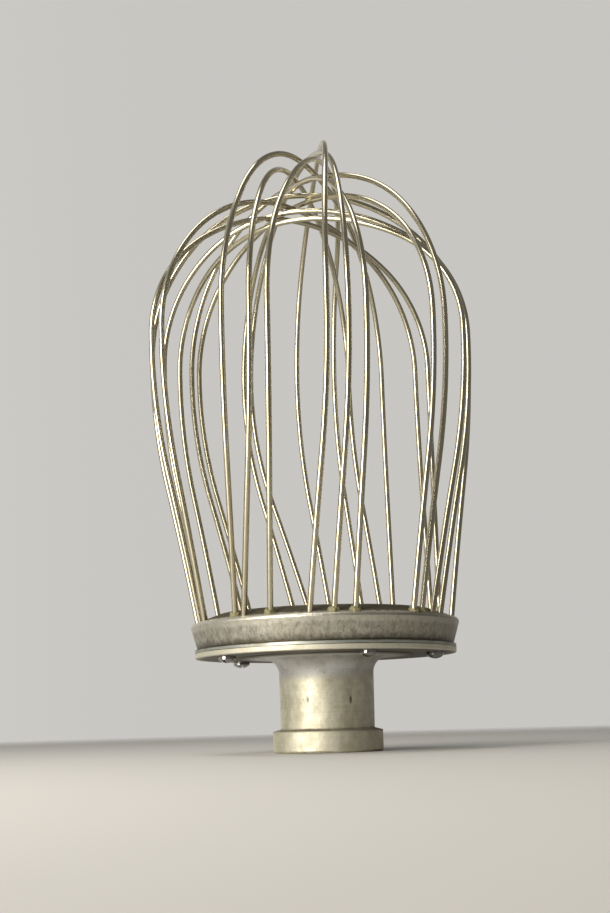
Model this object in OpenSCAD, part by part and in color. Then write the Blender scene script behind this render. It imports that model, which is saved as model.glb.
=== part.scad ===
// Wire whip for an upright planetary mixer.
// Thirteen wire loops stand in a cast ring, which five screws hold on the flange of a socket hub.
// The hub stands on its collar at z = 0, the mixer shaft enters from below, and +Z runs up through the balloon.
// Angles are measured about +Z from the front, which faces -Y, and grow towards +X.

/* [Hub] */
// Diameter of the hub barrel at its lower end
hub_d = 43.5; // [40:0.5:46]
// Diameter of the collar at the open end
collar_d = 51; // [50:0.5:56]
// Height of the collar
collar_h = 9.5; // [7:0.5:12]
// Height of the flange underside above the collar face
flange_z = 43.5; // [42:0.5:52]
// How far the flange and the retaining plate reach outside the circle of wires
flange_lip = 1.5; // [0.5:0.1:2.5]
// Thickness of the flange at its edge
flange_t = 2.2; // [1.6:0.1:4]
// Diameter of the thick web under the flange
web_d = 82; // [74:1:90]

/* [Drive socket] */
// Diameter of the shaft bore
bore_d = 25; // [22:0.5:26]
// Depth of the shaft bore
bore_depth = 38; // [32:1:40]
// Width of the bayonet groove for the shaft's cross pin
groove_w = 7; // [6:0.5:8]
// Depth of the bayonet groove into the bore wall
groove_depth = 4; // [3:0.25:4.5]
// Height of the top of the bayonet groove above the collar face
groove_h = 28; // [24:1:30]
// Angle that the pin turns through to lock
lock_angle = 40; // [30:1:44]

/* [Wire ring] */
// Diameter of the circle on which the wires enter the ring
wire_circle_d = 119; // [108:0.5:132]
// How far the ring reaches outside the circle of wires at its shoulder
ring_lip = 3.3; // [3:0.1:5]
// How far the ring reaches outside the circle of wires at its foot
foot_lip = 0.3; // [0:0.1:1]
// Width of the ring inside the circle of wires
ring_wall = 15.5; // [13:0.5:18]
// Height of the ring where the wires enter
ring_h = 12.7; // [11:0.1:16]
// Slope of the ring's domed top
dome_slope = 20; // [12:1:24]
// Radius of the rounded shoulder
shoulder_r = 1.8; // [1:0.1:2.4]
// Thickness of the retaining plate under the wire ends
plate_t = 1.6; // [1.2:0.1:3]

/* [Balloon] */
// Diameter of the wire
wire_d = 2.7; // [2:0.1:2.8]
// Diameter of the balloon at its belly
belly_d = 157; // [150:1:168]
// Height of the belly above the collar face
belly_z = 195; // [185:1:210]
// Height of the wire centre at the top of the balloon
crown_z = 295; // [290:1:310]
// Sideways lean of the balloon towards -X
balloon_lean = 4.5; // [0:0.5:6]
// How much steeper a leg starts than a straight run to the belly
leg_bend = 1.2; // [1.1:0.05:1.4]

/* [Screws] */
// Diameter of the screw thread
screw_d = 5; // [4:0.5:5]
// Length of the screw under its head
screw_len = 13; // [11:0.5:14]
// How far inside the circle of wires the screws stand
screw_inset = 7.5; // [7:0.1:9]

/* [Hidden] */
$fn = 96;
metal = "silver";
cast_metal = "darkgray";

// Clearances
hole_play = 0.2;
thread_play = 0.1;
plate_play = 0.3;
foot_play = 0.2;
screw_play = 0.5;
wire_gap = 0.3;

// Diameters that follow the circle of wires
flange_d = wire_circle_d + 2 * flange_lip;
ring_d = wire_circle_d + 2 * ring_lip;
ring_foot_d = wire_circle_d + 2 * foot_lip;
ring_bore_d = wire_circle_d - 2 * ring_wall;
screw_circle_d = wire_circle_d - 2 * screw_inset;

// Hub outline
hub_draft = 0.3;
collar_edge = 0.8;
collar_shoulder = 1;
hub_fillet = 7;
fillet_steps = 8;
web_slope = 2;
web_edge = 0.4;
flange_edge = 0.3;
boss_d = 60;
cut = 1;

// Heights
plate_z = flange_z + flange_t;
ring_z = plate_z + plate_t;
entry_z = ring_z + ring_h;

// Ring outline
ring_edge = 0.2;
ring_land = 6;
shoulder_steps = 8;
hole_rise = 8;

// Screws
screw_angles = [21, 74, 160, 233, 302];
head_d = 1.6 * screw_d;
head_h = 0.62 * screw_d;
head_wall = 0.3 * screw_d;
slot_w = 0.2 * screw_d;
slot_depth = 0.24 * screw_d;
screw_hole_d = screw_d + screw_play;

// Wire loops in the order in which they lie over each other, the topmost one first
// Each row: foot angle, belly angle, far foot angle, far belly angle, crown x and y in crown shifts,
// crown depth below the top in wire pitches
LOOPS = [
    [-6, 7, 176, 185, 4, 1, 0],
    [4, 14, 185, 204, -4, 4, 1.2],
    [-23, -12, 160, 170, 9, 4, 2.6],
    [-138, -128, 46, 54, -3, 7, 3.6],
    [-41, -28, 144, 150, -6, -24, 4.4],
    [-36, -18, 150, 164, -8, -4, 4.9],
    [13, 20, 193, 207, -10, 2, 5.9],
    [-86, -98, 88, 90, -7, 2, 6.9],
    [-143, -132, 41, 47, -4, 4, 8],
    [-66, -58, 118, 134, -16, -2, 9],
    [-106, -110, 61, 80, -12, 0, 10.1],
    [-73, -68, 110, 127, -10, 4, 11.1],
    [-120, -121, 54, 70, -14, -6, 12.6]
];
crown_shift = 1;
wire_sides = 8;
leg_steps = 3;
crown_steps = 6;
up = [0, 0, 1];

// Vectors and arcs

function unit(v) = v / norm(v);
function flat(v) = [v.x, v.y, 0];
function turned(radius, angle) = [radius * sin(angle), -radius * cos(angle), 0];
function reversed(list) = [for (i = [len(list) - 1:-1:0]) list[i]];
function tail(list) = [for (i = [1:len(list) - 1]) list[i]];

// Points of the arc that leaves p along s and ends at q
function arc_points(p, s, q, steps) =
    let (chord = q - p)
    let (half_turn = acos(s * unit(chord)))
    let (radius = norm(chord) / (2 * sin(half_turn)))
    let (inward = cross(unit(cross(s, chord)), s))
    [for (i = [0:steps])
        let (a = 2 * half_turn * i / steps)
        p + radius * ((1 - cos(a)) * inward + sin(a) * s)];

// Meeting point of two tangent arcs, from p along s to q along t
function arcs_meet(p, s, q, t) =
    let (v = q - p)
    let (k = 2 * (1 - s * t))
    let (b = v * (s + t))
    let (reach = (sqrt(b * b + k * (v * v)) - b) / k)
    (p + reach * s + q - reach * t) / 2;

function two_arcs(p, s, q, t, steps) =
    let (meet = arcs_meet(p, s, q, t))
    concat(
        arc_points(p, s, meet, steps),
        tail(reversed(arc_points(q, -t, meet, steps)))
    );

// Wire loops

function foot_point(angle) = turned(wire_circle_d / 2, angle) + entry_z * up;
function belly_point(angle) = turned(belly_d / 2, angle) + [-balloon_lean, 0, belly_z];

// Direction in which a leg leaves its hole
function leg_way(foot, belly) =
    let (out = flat(belly - foot))
    let (slope = leg_bend * atan(norm(out) / (belly.z - foot.z)))
    sin(slope) * unit(out) + cos(slope) * up;

// Lower end of a wire, just above the retaining plate
function wire_end(foot, way) = foot - way * (ring_h - foot_play) / way.z;

function half_loop(foot, belly, crown, heading) =
    let (way = leg_way(foot, belly))
    concat(
        [wire_end(foot, way)],
        two_arcs(foot, way, belly, up, leg_steps),
        tail(two_arcs(belly, up, crown, heading, crown_steps))
    );

function loop_crown(i) =
    let (row = LOOPS[i])
    [crown_shift * row[4], crown_shift * row[5], crown_z - row[6] * (wire_d + wire_gap)];
function loop_heading(i) = unit(belly_point(LOOPS[i][3]) - belly_point(LOOPS[i][1]));

function loop_path(i) =
    let (row = LOOPS[i])
    let (crown = loop_crown(i))
    let (heading = loop_heading(i))
    concat(
        half_loop(foot_point(row[0]), belly_point(row[1]), crown, heading),
        tail(reversed(half_loop(foot_point(row[2]), belly_point(row[3]), crown, -heading)))
    );

// Round wire along a path whose bends lie close to the plane square to side
module wire_along(path, side) {
    last = len(path) - 1;
    points = [
        for (i = [0:last])
            let (way = unit(path[min(i + 1, last)] - path[max(i - 1, 0)]))
            let (across = unit(side - (side * way) * way))
            let (over = cross(way, across))
            for (k = [0:wire_sides - 1])
                let (a = 360 * k / wire_sides)
                path[i] + wire_d / 2 * (cos(a) * across + sin(a) * over)
    ];
    skin = [
        for (i = [0:last - 1])
            for (k = [0:wire_sides - 1])
                let (a = i * wire_sides + k)
                let (b = i * wire_sides + (k + 1) % wire_sides)
                for (face = [[a, a + wire_sides, b], [b, a + wire_sides, b + wire_sides]])
                    face
    ];
    ends = [
        [for (k = [0:wire_sides - 1]) k],
        [for (k = [wire_sides - 1:-1:0]) last * wire_sides + k]
    ];
    polyhedron(points = points, faces = concat(skin, ends));
}

module wire_loop(i) {
    color(metal)
        wire_along(loop_path(i), cross(up, loop_heading(i)));
}

// Hub

function fillet_points() =
    let (top_r = hub_d / 2 + hub_draft)
    let (middle = [top_r + hub_fillet, fillet_z()])
    [for (i = [0:fillet_steps])
        let (a = (90 - web_slope) * i / fillet_steps)
        middle + hub_fillet * [-cos(a), sin(a)]];

// Height at which the fillet leaves the barrel, so that the web runs out at its edge under the flange
function fillet_z() =
    let (fillet_end_r = hub_d / 2 + hub_draft + hub_fillet * (1 - sin(web_slope)))
    let (web_rise = (web_d / 2 - fillet_end_r) * tan(web_slope))
    flange_z - web_edge - web_rise - hub_fillet * cos(web_slope);

module hub_outline() {
    collar_r = collar_d / 2;
    flange_r = flange_d / 2;
    polygon(concat(
        [
            [0, 0],
            [collar_r - collar_edge, 0],
            [collar_r, collar_edge],
            [collar_r, collar_h],
            [hub_d / 2, collar_h + collar_shoulder]
        ],
        fillet_points(),
        [
            [web_d / 2, flange_z - web_edge],
            [web_d / 2, flange_z],
            [flange_r - flange_edge, flange_z],
            [flange_r, flange_z + flange_edge],
            [flange_r, plate_z],
            [boss_d / 2, plate_z],
            [boss_d / 2, ring_z],
            [0, ring_z]
        ]
    ));
}

// L-shaped path for the shaft's cross pin, open at the collar face
module bayonet_groove() {
    reach = bore_d / 2 + groove_depth;
    translate([-groove_w / 2, 0, -cut])
        cube([groove_w, reach, groove_h + cut]);
    translate([0, 0, groove_h - groove_w])
        rotate([0, 0, 90])
            rotate_extrude(angle = lock_angle)
                square([reach, groove_w]);
}

module screw_holes(d, z, h) {
    for (a = screw_angles)
        translate(turned(screw_circle_d / 2, a) + z * up)
            cylinder(d = d, h = h);
}

module hub() {
    color(cast_metal)
        difference() {
            rotate_extrude()
                hub_outline();
            translate([0, 0, -cut])
                cylinder(d = bore_d, h = bore_depth + cut);
            bayonet_groove();
            screw_holes(screw_hole_d, flange_z - cut, flange_t + 2 * cut);
        }
}

// Retaining plate

module retaining_plate() {
    color(metal)
        difference() {
            translate([0, 0, plate_z])
                cylinder(d = flange_d, h = plate_t);
            translate([0, 0, plate_z - cut])
                cylinder(d = boss_d + plate_play, h = plate_t + 2 * cut);
            screw_holes(screw_hole_d, plate_z - cut, plate_t + 2 * cut);
        }
}

// Wire ring

module ring_outline() {
    entry_r = wire_circle_d / 2;
    bore_r = ring_bore_d / 2;
    land_r = bore_r + ring_land;
    top_y = ring_h + (entry_r - land_r) * tan(dome_slope);
    shoulder_x = ring_d / 2 - shoulder_r;
    shoulder_y = ring_h - (shoulder_x - entry_r) * tan(dome_slope) - shoulder_r / cos(dome_slope);
    shoulder = [
        for (i = [0:shoulder_steps])
            let (a = (90 - dome_slope) * i / shoulder_steps)
            [shoulder_x, shoulder_y] + shoulder_r * [cos(a), sin(a)]
    ];
    polygon(concat(
        [
            [bore_r, 0],
            [ring_foot_d / 2 - ring_edge, 0],
            [ring_foot_d / 2, ring_edge]
        ],
        shoulder,
        [
            [land_r, top_y],
            [bore_r + ring_edge, top_y],
            [bore_r, top_y - ring_edge]
        ]
    ));
}

// Through hole along the start of a leg
module wire_hole(foot, belly) {
    way = leg_way(foot, belly);
    start = wire_end(foot, way) - cut * way;
    lean = acos(way.z);
    heading = atan2(way.y, way.x);
    translate(start)
        rotate([0, lean, heading])
            rotate([0, 0, 90])
                cylinder(d = wire_d + hole_play, h = ring_h + hole_rise);
}

module wire_ring() {
    color(cast_metal)
        difference() {
            translate([0, 0, ring_z])
                rotate_extrude()
                    ring_outline();
            for (row = LOOPS) {
                wire_hole(foot_point(row[0]), belly_point(row[1]));
                wire_hole(foot_point(row[2]), belly_point(row[3]));
            }
            screw_holes(screw_d + thread_play, ring_z - cut, screw_len - flange_t - plate_t + 2 * cut);
        }
}

// Screws

module screw_head() {
    crown_h = head_h - head_wall;
    dome_r = (head_d * head_d / 4 + crown_h * crown_h) / (2 * crown_h);
    difference() {
        intersection() {
            translate([0, 0, dome_r - head_h])
                sphere(r = dome_r);
            translate([0, 0, -head_h])
                cylinder(d = head_d, h = head_h);
        }
        translate([-head_d / 2, -slot_w / 2, -head_h - cut])
            cube([head_d, slot_w, slot_depth + cut]);
    }
}

module flange_screw(i) {
    color(metal)
        translate(turned(screw_circle_d / 2, screw_angles[i]) + flange_z * up)
            rotate([0, 0, 2 * screw_angles[i]]) {
                screw_head();
                cylinder(d = screw_d, h = screw_len);
            }
}

hub();
retaining_plate();
wire_ring();
wire_loop(0);  // wire_loop_01
wire_loop(1);  // wire_loop_02
wire_loop(2);  // wire_loop_03
wire_loop(3);  // wire_loop_04
wire_loop(4);  // wire_loop_05
wire_loop(5);  // wire_loop_06
wire_loop(6);  // wire_loop_07
wire_loop(7);  // wire_loop_08
wire_loop(8);  // wire_loop_09
wire_loop(9);  // wire_loop_10
wire_loop(10);  // wire_loop_11
wire_loop(11);  // wire_loop_12
wire_loop(12);  // wire_loop_13
flange_screw(0);  // flange_screw_1
flange_screw(1);  // flange_screw_2
flange_screw(2);  // flange_screw_3
flange_screw(3);  // flange_screw_4
flange_screw(4);  // flange_screw_5
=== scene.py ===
# Looks of the wire whip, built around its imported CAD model. Lengths are in millimetres until a mesh is made.
import math

import bpy
from mathutils import Matrix, Vector, noise


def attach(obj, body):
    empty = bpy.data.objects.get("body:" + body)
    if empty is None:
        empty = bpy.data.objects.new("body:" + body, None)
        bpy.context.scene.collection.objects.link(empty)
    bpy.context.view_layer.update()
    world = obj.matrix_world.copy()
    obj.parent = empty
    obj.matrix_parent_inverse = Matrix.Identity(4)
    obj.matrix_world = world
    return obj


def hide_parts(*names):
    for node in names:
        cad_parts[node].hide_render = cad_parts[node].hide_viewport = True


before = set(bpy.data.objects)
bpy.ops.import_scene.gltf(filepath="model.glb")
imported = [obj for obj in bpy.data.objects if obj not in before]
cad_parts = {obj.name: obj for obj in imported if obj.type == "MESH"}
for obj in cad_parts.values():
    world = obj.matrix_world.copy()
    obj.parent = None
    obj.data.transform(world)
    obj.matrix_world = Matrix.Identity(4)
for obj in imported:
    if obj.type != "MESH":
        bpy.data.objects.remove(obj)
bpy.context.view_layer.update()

MM = 0.001
UP = Vector((0, 0, 1))

# Camera, as worked out from the photograph
IMAGE_H = 913
FOCAL_PX = 1300
SENSOR_MM = 36
CLIP_START = 0.01
CAMERA_PLACE = Vector((0.4, -615.5, 13.3))
CAMERA_YAW = math.radians(-0.7)
CAMERA_PITCH = math.radians(11.57)
CAMERA_ROLL = math.radians(-1.6)

# Wire loops, with the same values as the CAD model
WIRE_D = 2.7
WIRE_GAP = 0.3
WIRE_CIRCLE_R = 59.5
RING_Z = 47.3
RING_H = 12.7
ENTRY_Z = RING_Z + RING_H
FOOT_PLAY = 0.2
BELLY_R = 78.5
BELLY_Z = 195
CROWN_Z = 295
BALLOON_LEAN = 4.5
LEG_BEND = 1.2
LOOPS = [
    (-6, 7, 176, 185, 4, 1, 0),
    (4, 14, 185, 204, -4, 4, 1.2),
    (-23, -12, 160, 170, 9, 4, 2.6),
    (-138, -128, 46, 54, -3, 7, 3.6),
    (-41, -28, 144, 150, -6, -24, 4.4),
    (-36, -18, 150, 164, -8, -4, 4.9),
    (13, 20, 193, 207, -10, 2, 5.9),
    (-86, -98, 88, 90, -7, 2, 6.9),
    (-143, -132, 41, 47, -4, 4, 8),
    (-66, -58, 118, 134, -16, -2, 9),
    (-106, -110, 61, 80, -12, 0, 10.1),
    (-73, -68, 110, 127, -10, 4, 11.1),
    (-120, -121, 54, 70, -14, -6, 12.6),
]
WIRE_SIDES = 20
LEG_STEPS = 22
CROWN_STEPS = 36
# Length of wire along one unit of its texture
WIRE_UV_LENGTH = 10

# Filler beads at wire entries: loop index, which end, radius, height
BEADS = [
    (4, 0, 2.2, 1.5),
    (2, 0, 2.5, 1.6),
    (1, 0, 2.5, 1.4),
    (6, 0, 2.6, 1.5),
    (8, 2, 2.4, 1.2),
    (3, 2, 2.2, 1.3),
]
BEAD_RINGS = 9
BEAD_SIDES = 24
BEAD_SINK = 1.4
# How far a bead swells all round, how far its lumps stand out, and the share by which they lift it
BEAD_SWELL = 0.18
BEAD_LUMP = 0.81
BEAD_LIFT = 0.5
# Noise that makes the lumps: its scale round a bead and up it, and its step from bead to bead
LUMP_ROUND = 2.4
LUMP_UP = 2.5
LUMP_STEP = 3.1

# Zones of the castings in which the look changes, as heights in metres
COLLAR_DIRT_AND_SHADE = (0.0101, 0.0112)
HUB_CAST_SKIN = (0.031, 0.0362)
PLATE_LOWER_DARK_LINE = (0.0461, 0.0464)
PLATE_UPPER_PAINTED_SHADE = (0.0472, 0.0476)
RING_FOOT_DIRT_AND_SHADE = (0.0487, 0.053)
RING_SHOULDER = (0.0567, 0.0615)
RING_TOP = (0.0603, 0.0616)

# The same as radii and, for the right sides darkened with painted shade, as places along X
FLANGE_UNDERSIDE = (0.036, 0.0597)
FLANGE_RIM = (0.06, 0.0606)
RING_TOP_RIM = (0.047, 0.053)
HUB_PAINTED_SHADE_SIDE = (0.002, 0.024)
RING_PAINTED_SHADE_SIDE = (0.0, 0.06)

# Upright marks on the barrel, as points in space that is squashed by MARK_SQUASH
MARK_SQUASH = (1, 1, 0.4)
HUB_PIT = (-0.0086, -0.02, 0.0094)
HUB_SCRATCH = (0.0106, -0.019, 0.0092)


# Camera and lamps

def make_camera():
    forward = Vector((
        math.sin(CAMERA_YAW) * math.cos(CAMERA_PITCH),
        math.cos(CAMERA_YAW) * math.cos(CAMERA_PITCH),
        math.sin(CAMERA_PITCH),
    ))
    level = Vector((math.cos(CAMERA_YAW), -math.sin(CAMERA_YAW), 0))
    right = math.cos(CAMERA_ROLL) * level + math.sin(CAMERA_ROLL) * level.cross(forward)
    data = bpy.data.cameras.new("photo_camera")
    data.sensor_fit = "VERTICAL"
    data.sensor_height = SENSOR_MM
    data.lens = FOCAL_PX * SENSOR_MM / IMAGE_H
    data.clip_start = CLIP_START
    camera = bpy.data.objects.new("photo_camera", data)
    bpy.context.scene.collection.objects.link(camera)
    place = Matrix((right, right.cross(forward), -forward)).transposed().to_4x4()
    place.translation = CAMERA_PLACE * MM
    camera.matrix_world = place
    bpy.context.scene.camera = camera


def area_light(name, place, target, size, power, colour):
    data = bpy.data.lights.new(name, "AREA")
    data.shape = "RECTANGLE"
    data.size, data.size_y = size
    data.energy = power
    data.color = colour
    lamp = bpy.data.objects.new(name, data)
    bpy.context.scene.collection.objects.link(lamp)
    lamp.visible_camera = False
    lamp.location = place
    lamp.rotation_euler = (Vector(target) - Vector(place)).to_track_quat("-Z", "Y").to_euler()


# Material helpers

def node(tree, kind, inputs=None, **settings):
    made = tree.nodes.new(kind)
    for name, value in settings.items():
        setattr(made, name, value)
    for name, value in (inputs or {}).items():
        socket = made.inputs[name]
        if isinstance(value, bpy.types.NodeSocket):
            tree.links.new(value, socket)
        else:
            socket.default_value = value
    return made


def new_material(name):
    material = bpy.data.materials.new(name)
    material.use_nodes = True
    tree = material.node_tree
    return material, tree, tree.nodes["Principled BSDF"]


def rgb(red, green, blue):
    return (red, green, blue, 1)


def stretched(tree, coords, scale):
    return node(tree, "ShaderNodeMapping", {"Vector": coords, "Scale": scale}).outputs["Vector"]


def noise_at(tree, coords, scale, detail=4, roughness=0.55):
    inputs = {"Vector": stretched(tree, coords, scale), "Scale": 1, "Detail": detail, "Roughness": roughness}
    return node(tree, "ShaderNodeTexNoise", inputs).outputs["Fac"]


def between(tree, value, low, high, out_low=0.0, out_high=1.0):
    inputs = {"Value": value, "From Min": low, "From Max": high, "To Min": out_low, "To Max": out_high}
    return node(tree, "ShaderNodeMapRange", inputs, interpolation_type="SMOOTHSTEP").outputs["Result"]


def math_of(tree, operation, first, second):
    made = node(tree, "ShaderNodeMath", {0: first, 1: second}, operation=operation)
    return made.outputs["Value"]


def band(tree, value, low, high, soft):
    rise = between(tree, value, low - soft, low + soft)
    fall = between(tree, value, high - soft, high + soft, 1, 0)
    return math_of(tree, "MULTIPLY", rise, fall)


# Places of the factor, the colours and the result on a Mix node for colours
MIX_FACTOR, MIX_FIRST, MIX_SECOND, MIX_RESULT = 0, 6, 7, 2


def mixed(tree, factor, first, second):
    inputs = {MIX_FACTOR: factor, MIX_FIRST: first, MIX_SECOND: second}
    return node(tree, "ShaderNodeMix", inputs, data_type="RGBA").outputs[MIX_RESULT]


def bumped(tree, height, strength, distance, below=None):
    inputs = {"Height": height, "Strength": strength, "Distance": distance}
    if below is not None:
        inputs["Normal"] = below
    return node(tree, "ShaderNodeBump", inputs).outputs["Normal"]


def object_coords(tree):
    return node(tree, "ShaderNodeTexCoord").outputs["Object"]


def split(tree, coords):
    made = node(tree, "ShaderNodeSeparateXYZ", {"Vector": coords})
    return made.outputs["X"], made.outputs["Y"], made.outputs["Z"]


def radius_of(tree, coords):
    flat = stretched(tree, coords, (1, 1, 0))
    return node(tree, "ShaderNodeVectorMath", {0: flat}, operation="LENGTH").outputs["Value"]


def near_point(tree, coords, point, inner, outer):
    away = node(tree, "ShaderNodeVectorMath", {0: coords, 1: point}, operation="DISTANCE").outputs["Value"]
    return between(tree, away, inner, outer, 1, 0)


def connect(tree, shader, colour, roughness, normal):
    tree.links.new(colour, shader.inputs["Base Color"])
    tree.links.new(roughness, shader.inputs["Roughness"])
    tree.links.new(normal, shader.inputs["Normal"])


# Materials

def wire_material():
    material, tree, shader = new_material("drawn_steel_wire")
    shader.inputs["Metallic"].default_value = 1
    along = node(tree, "ShaderNodeTexCoord").outputs["UV"]
    coords = object_coords(tree)
    streaks = noise_at(tree, along, (0.15, 3, 1), 3)
    stains = noise_at(tree, coords, (30, 30, 14), 4)
    specks = noise_at(tree, coords, (160, 160, 90), 2)
    stained = between(tree, stains, 0.5, 0.7)
    colour = mixed(tree, streaks, rgb(0.5, 0.455, 0.325), rgb(0.69, 0.645, 0.5))
    colour = mixed(tree, math_of(tree, "MULTIPLY", stained, 0.35), colour, rgb(0.38, 0.32, 0.215))
    colour = mixed(tree, between(tree, specks, 0.58, 0.72, 0, 0.25), colour, rgb(0.3, 0.26, 0.18))
    rough = between(tree, streaks, 0.3, 0.7, 0.13, 0.2)
    rough = math_of(tree, "ADD", rough, math_of(tree, "MULTIPLY", stained, 0.08))
    normal = bumped(tree, streaks, 0.012, 0.00005)
    connect(tree, shader, colour, rough, normal)
    return material


def hub_material():
    material, tree, shader = new_material("turned_cast_aluminium")
    shader.inputs["Metallic"].default_value = 1
    coords = object_coords(tree)
    side, _, height = split(tree, coords)
    radius = radius_of(tree, coords)
    turning = noise_at(tree, coords, (30, 30, 1800), 4)
    streaks = noise_at(tree, coords, (420, 420, 40), 4)
    sand = noise_at(tree, coords, (1500, 1500, 1500), 4, 0.65)
    stains = noise_at(tree, coords, (150, 150, 110), 6, 0.7)
    clouds = noise_at(tree, coords, (50, 50, 50), 5, 0.6)
    pits = noise_at(tree, coords, (620, 620, 620), 2)
    cast = between(tree, height, *HUB_CAST_SKIN)
    colour = mixed(tree, between(tree, stains, 0.3, 0.7), rgb(0.57, 0.542, 0.415), rgb(0.86, 0.83, 0.685))
    colour = mixed(tree, between(tree, streaks, 0.45, 0.7, 0, 0.3), colour, rgb(0.56, 0.53, 0.42))
    colour = mixed(tree, between(tree, turning, 0.4, 0.65, 0, 0.12), colour, rgb(0.4, 0.375, 0.3))
    cast_colour = mixed(tree, sand, rgb(0.54, 0.545, 0.54), rgb(0.86, 0.865, 0.86))
    cast_colour = mixed(tree, between(tree, clouds, 0.45, 0.65, 0, 0.4), cast_colour, rgb(0.46, 0.44, 0.38))
    cast_colour = mixed(tree, between(tree, stains, 0.46, 0.62, 0, 0.5), cast_colour, rgb(0.4, 0.385, 0.34))
    colour = mixed(tree, cast, colour, cast_colour)
    # Painted shade: the hub's right side is darkened
    colour = mixed(tree, between(tree, side, *HUB_PAINTED_SHADE_SIDE, 0, 0.45), colour, rgb(0.36, 0.33, 0.235))
    # Painted shade: the flange's underside is darkened
    painted_shade_under = math_of(tree, "MULTIPLY", band(tree, radius, *FLANGE_UNDERSIDE, 0.004), cast)
    colour = mixed(tree, math_of(tree, "MULTIPLY", painted_shade_under, 0.88), colour, rgb(0.11, 0.097, 0.072))
    rim = between(tree, radius, *FLANGE_RIM)
    colour = mixed(tree, rim, colour, mixed(tree, stains, rgb(0.52, 0.49, 0.39), rgb(0.8, 0.775, 0.66)))
    pitted = between(tree, pits, 0.7, 0.77, 0, 0.6)
    colour = mixed(tree, pitted, colour, rgb(0.14, 0.13, 0.1))
    # Dark band in the crease above the collar: dirt, with painted shade; a pit and a scratch are added to it
    ragged = math_of(tree, "ADD", height, math_of(tree, "MULTIPLY", stains, 0.0016))
    marks_and_shade = band(tree, ragged, *COLLAR_DIRT_AND_SHADE, 0.0007)
    squashed = stretched(tree, coords, MARK_SQUASH)
    pit = near_point(tree, squashed, HUB_PIT, 0.0001, 0.0009)
    pit = math_of(tree, "MULTIPLY", pit, 0.5)
    scratch = near_point(tree, squashed, HUB_SCRATCH, 0.0003, 0.001)
    marks_and_shade = math_of(tree, "MAXIMUM", marks_and_shade, math_of(tree, "MAXIMUM", pit, scratch))
    colour = mixed(tree, math_of(tree, "MULTIPLY", marks_and_shade, 0.75), colour, rgb(0.07, 0.06, 0.04))
    rough = between(tree, stains, 0.3, 0.7, 0.62, 0.5)
    rough = math_of(tree, "ADD", rough, math_of(tree, "MULTIPLY", cast, 0.08))
    rough = math_of(tree, "ADD", rough, math_of(tree, "MULTIPLY", marks_and_shade, 0.3))
    normal = bumped(tree, turning, 0.05, 0.0001)
    normal = bumped(tree, stains, 0.12, 0.0003, normal)
    normal = bumped(tree, math_of(tree, "MULTIPLY", sand, cast), 0.35, 0.0002, normal)
    holes = math_of(tree, "MAXIMUM", pitted, marks_and_shade)
    normal = bumped(tree, math_of(tree, "SUBTRACT", 1.0, holes), 0.4, 0.0002, normal)
    connect(tree, shader, colour, rough, normal)
    return material


def ring_material():
    material, tree, shader = new_material("worn_cast_aluminium")
    coords = object_coords(tree)
    side, _, height = split(tree, coords)
    grain = noise_at(tree, coords, (1100, 1100, 160), 4, 0.6)
    sand = noise_at(tree, coords, (1300, 1300, 1300), 4, 0.65)
    mottle = noise_at(tree, coords, (480, 480, 330), 6, 0.7)
    pits = noise_at(tree, coords, (900, 900, 420), 3, 0.6)
    clouds = noise_at(tree, coords, (70, 70, 70), 5, 0.6)
    ragged = math_of(tree, "ADD", height, math_of(tree, "MULTIPLY", mottle, 0.003))
    colour = mixed(tree, between(tree, mottle, 0.3, 0.7), rgb(0.28, 0.264, 0.215), rgb(0.6, 0.58, 0.5))
    colour = mixed(tree, between(tree, grain, 0.4, 0.7, 0, 0.4), colour, rgb(0.62, 0.605, 0.54))
    colour = mixed(tree, between(tree, clouds, 0.45, 0.65, 0, 0.45), colour, rgb(0.36, 0.325, 0.25))
    worn = band(tree, ragged, *RING_SHOULDER, 0.0009)
    bright = mixed(tree, mottle, rgb(0.5, 0.475, 0.39), rgb(0.8, 0.775, 0.68))
    colour = mixed(tree, math_of(tree, "MULTIPLY", worn, 0.85), colour, bright)
    pitted = between(tree, pits, 0.63, 0.72, 0, 0.6)
    colour = mixed(tree, pitted, colour, rgb(0.09, 0.075, 0.05))
    # Painted shade: the ring's right side is darkened
    colour = mixed(tree, between(tree, side, *RING_PAINTED_SHADE_SIDE, 0, 0.55), colour, rgb(0.2, 0.175, 0.13))
    # Darker towards the ring's foot: dirt, with painted shade where it meets the plate
    colour = mixed(tree, between(tree, ragged, *RING_FOOT_DIRT_AND_SHADE, 0.85, 0), colour, rgb(0.09, 0.078, 0.055))
    # Dark top of the ring: dirt, with painted shade
    top = between(tree, ragged, *RING_TOP)
    dirt_and_shade = mixed(tree, sand, rgb(0.016, 0.013, 0.007), rgb(0.085, 0.073, 0.042))
    rim = between(tree, radius_of(tree, coords), *RING_TOP_RIM, 0.55, 0.95)
    colour = mixed(tree, math_of(tree, "MULTIPLY", top, rim), colour, dirt_and_shade)
    rough = between(tree, sand, 0.3, 0.7, 0.4, 0.55)
    rough = math_of(tree, "SUBTRACT", rough, math_of(tree, "MULTIPLY", worn, 0.08))
    rough = math_of(tree, "ADD", rough, math_of(tree, "MULTIPLY", top, 0.2))
    normal = bumped(tree, grain, 0.25, 0.0002)
    normal = bumped(tree, mottle, 0.35, 0.0003, normal)
    normal = bumped(tree, sand, 0.35, 0.0002, normal)
    normal = bumped(tree, math_of(tree, "SUBTRACT", 1.0, pitted), 0.5, 0.0003, normal)
    connect(tree, shader, colour, rough, normal)
    tree.links.new(between(tree, top, 0, 1, 1, 0), shader.inputs["Metallic"])
    tree.links.new(between(tree, top, 0, 1, 0.5, 0.04), shader.inputs["Specular IOR Level"])
    return material


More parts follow.
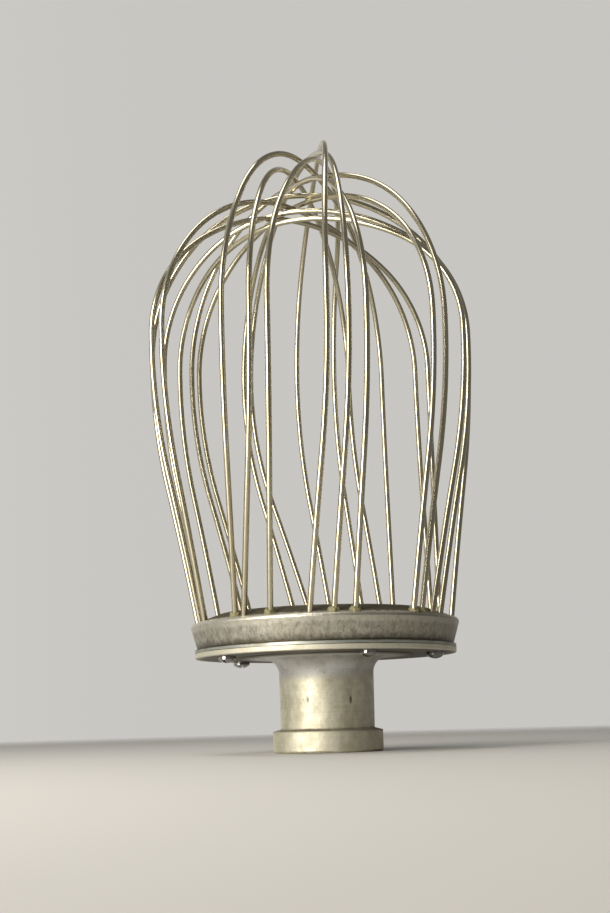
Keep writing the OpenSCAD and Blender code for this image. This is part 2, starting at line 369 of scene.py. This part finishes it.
def plate_material():
    material, tree, shader = new_material("stamped_aluminium")
    shader.inputs["Metallic"].default_value = 1
    coords = object_coords(tree)
    height = split(tree, coords)[2]
    grain = noise_at(tree, coords, (160, 160, 1800), 4)
    clouds = noise_at(tree, coords, (90, 90, 90), 5, 0.6)
    colour = mixed(tree, grain, rgb(0.34, 0.355, 0.32), rgb(0.52, 0.545, 0.49))
    colour = mixed(tree, between(tree, clouds, 0.48, 0.66, 0, 0.6), colour, rgb(0.28, 0.255, 0.19))
    # Painted shade on the plate's top under the ring's foot, and a dark line along its lower edge
    ragged = math_of(tree, "ADD", height, math_of(tree, "MULTIPLY", clouds, 0.0006))
    upper = between(tree, ragged, *PLATE_UPPER_PAINTED_SHADE)
    lower = between(tree, ragged, *PLATE_LOWER_DARK_LINE, 1, 0)
    marks_and_shade = math_of(tree, "MAXIMUM", upper, lower)
    colour = mixed(tree, math_of(tree, "MULTIPLY", marks_and_shade, 0.85), colour, rgb(0.08, 0.07, 0.05))
    rough = between(tree, clouds, 0.3, 0.7, 0.45, 0.58)
    normal = bumped(tree, grain, 0.15, 0.0001)
    connect(tree, shader, colour, rough, normal)
    return material


def screw_material():
    material, tree, shader = new_material("polished_screw_steel")
    shader.inputs["Metallic"].default_value = 1
    coords = object_coords(tree)
    scuffs = noise_at(tree, coords, (1400, 1400, 500), 4, 0.6)
    clouds = noise_at(tree, coords, (260, 260, 260), 3)
    colour = mixed(tree, clouds, rgb(0.3, 0.29, 0.27), rgb(0.5, 0.49, 0.47))
    colour = mixed(tree, between(tree, scuffs, 0.58, 0.68, 0, 0.7), colour, rgb(0.08, 0.07, 0.05))
    rough = between(tree, scuffs, 0.3, 0.7, 0.06, 0.14)
    normal = bumped(tree, scuffs, 0.15, 0.0001)
    connect(tree, shader, colour, rough, normal)
    return material


def bead_material():
    material, tree, shader = new_material("filler_bead")
    shader.inputs["Metallic"].default_value = 0.1
    coords = object_coords(tree)
    crumbs = noise_at(tree, coords, (900, 900, 900), 4, 0.65)
    colour = mixed(tree, crumbs, rgb(0.08, 0.07, 0.03), rgb(0.4, 0.375, 0.2))
    rough = between(tree, crumbs, 0.3, 0.7, 0.45, 0.65)
    normal = bumped(tree, crumbs, 0.4, 0.0002)
    connect(tree, shader, colour, rough, normal)
    return material


# Wire paths

def turned(radius, angle):
    angle = math.radians(angle)
    return Vector((radius * math.sin(angle), -radius * math.cos(angle), 0))


def arc_points(start, way, end, steps):
    chord = end - start
    half_turn = way.angle(chord)
    radius = chord.length / (2 * math.sin(half_turn))
    inward = way.cross(chord).normalized().cross(way)
    angles = [2 * half_turn * i / steps for i in range(steps + 1)]
    return [start + radius * ((1 - math.cos(a)) * inward + math.sin(a) * way) for a in angles]


def two_arcs(start, way, end, end_way, steps):
    gap = end - start
    k = 2 * (1 - way.dot(end_way))
    b = gap.dot(way + end_way)
    reach = (math.sqrt(b * b + k * gap.dot(gap)) - b) / k
    meet = (start + reach * way + end - reach * end_way) / 2
    first = arc_points(start, way, meet, steps)
    second = arc_points(end, -end_way, meet, steps)
    return first + second[-2::-1]


def foot_point(angle):
    return turned(WIRE_CIRCLE_R, angle) + ENTRY_Z * UP


def belly_point(angle):
    return turned(BELLY_R, angle) + Vector((-BALLOON_LEAN, 0, BELLY_Z))


def leg_way(foot, belly):
    out = belly - foot
    rise = out.z
    out.z = 0
    slope = LEG_BEND * math.atan(out.length / rise)
    return math.sin(slope) * out.normalized() + math.cos(slope) * UP


def half_loop(foot, belly, crown, heading):
    way = leg_way(foot, belly)
    end = foot - way * ((RING_H - FOOT_PLAY) / way.z)
    leg = two_arcs(foot, way, belly, UP, LEG_STEPS)
    top = two_arcs(belly, UP, crown, heading, CROWN_STEPS)
    return [end, end.lerp(foot, 0.5)] + leg + top[1:]


def loop_path(index):
    foot_a, belly_a, foot_b, belly_b, crown_x, crown_y, depth = LOOPS[index]
    crown = Vector((crown_x, crown_y, CROWN_Z - depth * (WIRE_D + WIRE_GAP)))
    heading = (belly_point(belly_b) - belly_point(belly_a)).normalized()
    first = half_loop(foot_point(foot_a), belly_point(belly_a), crown, heading)
    second = half_loop(foot_point(foot_b), belly_point(belly_b), crown, -heading)
    return first + second[-2::-1], UP.cross(heading)


# Meshes

def add_object(name, verts, faces, material):
    mesh = bpy.data.meshes.new(name)
    mesh.from_pydata([v * MM for v in verts], [], faces)
    mesh.materials.append(material)
    mesh.polygons.foreach_set("use_smooth", [True] * len(faces))
    made = bpy.data.objects.new(name, mesh)
    bpy.context.scene.collection.objects.link(made)
    return made


def ring_faces(rings, sides):
    faces = []
    for i in range(rings - 1):
        for k in range(sides):
            a = i * sides + k
            b = i * sides + (k + 1) % sides
            faces.append((a, b, b + sides, a + sides))
    faces.append(tuple(range(sides - 1, -1, -1)))
    faces.append(tuple((rings - 1) * sides + k for k in range(sides)))
    return faces


def wire_piece(index, material):
    path, side = loop_path(index)
    verts = []
    for i, point in enumerate(path):
        way = (path[min(i + 1, len(path) - 1)] - path[max(i - 1, 0)]).normalized()
        across = (side - side.dot(way) * way).normalized()
        over = way.cross(across)
        for k in range(WIRE_SIDES):
            angle = math.tau * k / WIRE_SIDES
            verts.append(point + WIRE_D / 2 * (math.cos(angle) * across + math.sin(angle) * over))
    faces = ring_faces(len(path), WIRE_SIDES)
    number = f"{index + 1:02d}"
    piece = add_object("wire_" + number, verts, faces, material)
    add_wire_uv(piece.data, path)
    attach(piece, "root")
    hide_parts("wire_loop_" + number)


def add_wire_uv(mesh, path):
    lengths = [0.0]
    for a, b in zip(path, path[1:]):
        lengths.append(lengths[-1] + (b - a).length)
    layer = mesh.uv_layers.new(name="UVMap")
    for polygon in mesh.polygons:
        ring_ids = [mesh.loops[i].vertex_index % WIRE_SIDES for i in polygon.loop_indices]
        wraps = max(ring_ids) - min(ring_ids) > 1
        for i, k in zip(polygon.loop_indices, ring_ids):
            ring = mesh.loops[i].vertex_index // WIRE_SIDES
            turn = k + WIRE_SIDES if wraps and k == 0 else k
            layer.data[i].uv = (lengths[ring] / WIRE_UV_LENGTH, turn / WIRE_SIDES)


def bead_piece(number, loop, end, radius, height, material):
    row = LOOPS[loop]
    foot = foot_point(row[end])
    way = leg_way(foot, belly_point(row[end + 1]))
    seat = foot - BEAD_SINK * way
    across = way.cross(UP).normalized()
    over = way.cross(across)
    verts = []
    for i in range(BEAD_RINGS):
        rise = i / (BEAD_RINGS - 1)
        reach = WIRE_D / 2 + (radius - WIRE_D / 2) * math.cos(rise * math.pi / 2)
        lift = (height + BEAD_SINK) * math.sin(rise * math.pi / 2)
        for k in range(BEAD_SIDES):
            angle = math.tau * k / BEAD_SIDES
            out = math.cos(angle) * across + math.sin(angle) * over
            lump = noise.noise(out * LUMP_ROUND + Vector((number * LUMP_STEP, rise * LUMP_UP, loop)))
            grown = reach + BEAD_SWELL + BEAD_LUMP * lump
            verts.append(seat + grown * out + lift * (1 + BEAD_LIFT * lump) * way)
    piece = add_object(f"filler_bead_{number + 1}", verts, ring_faces(BEAD_RINGS, BEAD_SIDES), material)
    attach(piece, "root")


# Floor, world and lamps

FLOOR_R = 1.5
FLOOR_SIDES = 96
FLOOR_DROP = 0.2
FLOOR_FADE = (0.5, 1.3)
FLOOR_COLOUR = rgb(0.62, 0.61, 0.585)
FLOOR_FLECKS = rgb(0.6, 0.59, 0.56)


def make_floor():
    material, tree, shader = new_material("pale_floor")
    coords = object_coords(tree)
    fine = noise_at(tree, coords, (400, 400, 400), 3)
    colour = mixed(tree, between(tree, fine, 0.3, 0.7, 0, 0.04), FLOOR_COLOUR, FLOOR_FLECKS)
    tree.links.new(colour, shader.inputs["Base Color"])
    shader.inputs["Roughness"].default_value = 0.75
    shader.inputs["Specular IOR Level"].default_value = 0.2
    fade = between(tree, radius_of(tree, coords), *FLOOR_FADE)
    clear = node(tree, "ShaderNodeBsdfTransparent")
    blend = node(tree, "ShaderNodeMixShader", {0: fade})
    tree.links.new(shader.outputs["BSDF"], blend.inputs[1])
    tree.links.new(clear.outputs["BSDF"], blend.inputs[2])
    tree.links.new(blend.outputs["Shader"], tree.nodes["Material Output"].inputs["Surface"])
    rim = [turned(FLOOR_R / MM, 360 * k / FLOOR_SIDES) - FLOOR_DROP * UP for k in range(FLOOR_SIDES)]
    floor = add_object("floor", rim, [tuple(range(FLOOR_SIDES))], material)


# Strength of the light from all round, and what the back and the left add to it
WORLD_BASE = 0.16
WORLD_BACK = 0.42
WORLD_LEFT = 0.3
WORLD_COLOUR = rgb(1, 0.975, 0.93)


def make_world():
    world = bpy.data.worlds.new("studio")
    bpy.context.scene.world = world
    world.use_nodes = True
    tree = world.node_tree
    side, depth, rise = split(tree, node(tree, "ShaderNodeTexCoord").outputs["Generated"])
    back = between(tree, depth, 0.2, 0.85, 0, WORLD_BACK)
    back = math_of(tree, "MULTIPLY", back, between(tree, side, 0.25, 0.7, 1, 0.3))
    back = math_of(tree, "MULTIPLY", back, between(tree, rise, 0.52, 0.8, 1, 0.25))
    left = between(tree, side, -0.95, -0.1, WORLD_LEFT, 0)
    light = math_of(tree, "ADD", math_of(tree, "ADD", back, left), WORLD_BASE)
    colour = mixed(tree, light, rgb(0, 0, 0), WORLD_COLOUR)
    tree.links.new(colour, tree.nodes["Background"].inputs["Color"])


# Lamps, in metres and watts: name, place, target, size, power, colour
LIGHTS = [
    ("key", (-0.44, -0.52, 0.32), (0, 0, 0.32), (0.34, 0.62), 6, (1, 0.95, 0.86)),
    ("top", (-0.25, -0.2, 1.2), (0, 0, 0.16), (0.6, 0.6), 4, (1, 0.97, 0.92)),
]


def paint_nodes():
    paints = {
        "hub": hub_material(),
        "wire_ring": ring_material(),
        "retaining_plate": plate_material(),
    }
    screw = screw_material()
    paints.update({name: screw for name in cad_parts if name.startswith("flange_screw")})
    for name, material in paints.items():
        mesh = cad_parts[name].data
        mesh.materials.clear()
        mesh.materials.append(material)


make_camera()
make_world()
for light in LIGHTS:
    area_light(*light)
make_floor()
paint_nodes()
wire_steel = wire_material()
for loop_index in range(len(LOOPS)):
    wire_piece(loop_index, wire_steel)
filler = bead_material()
for bead_number, bead in enumerate(BEADS):
    bead_piece(bead_number, *bead, filler)

bpy.context.scene.view_settings.view_transform = "Standard"
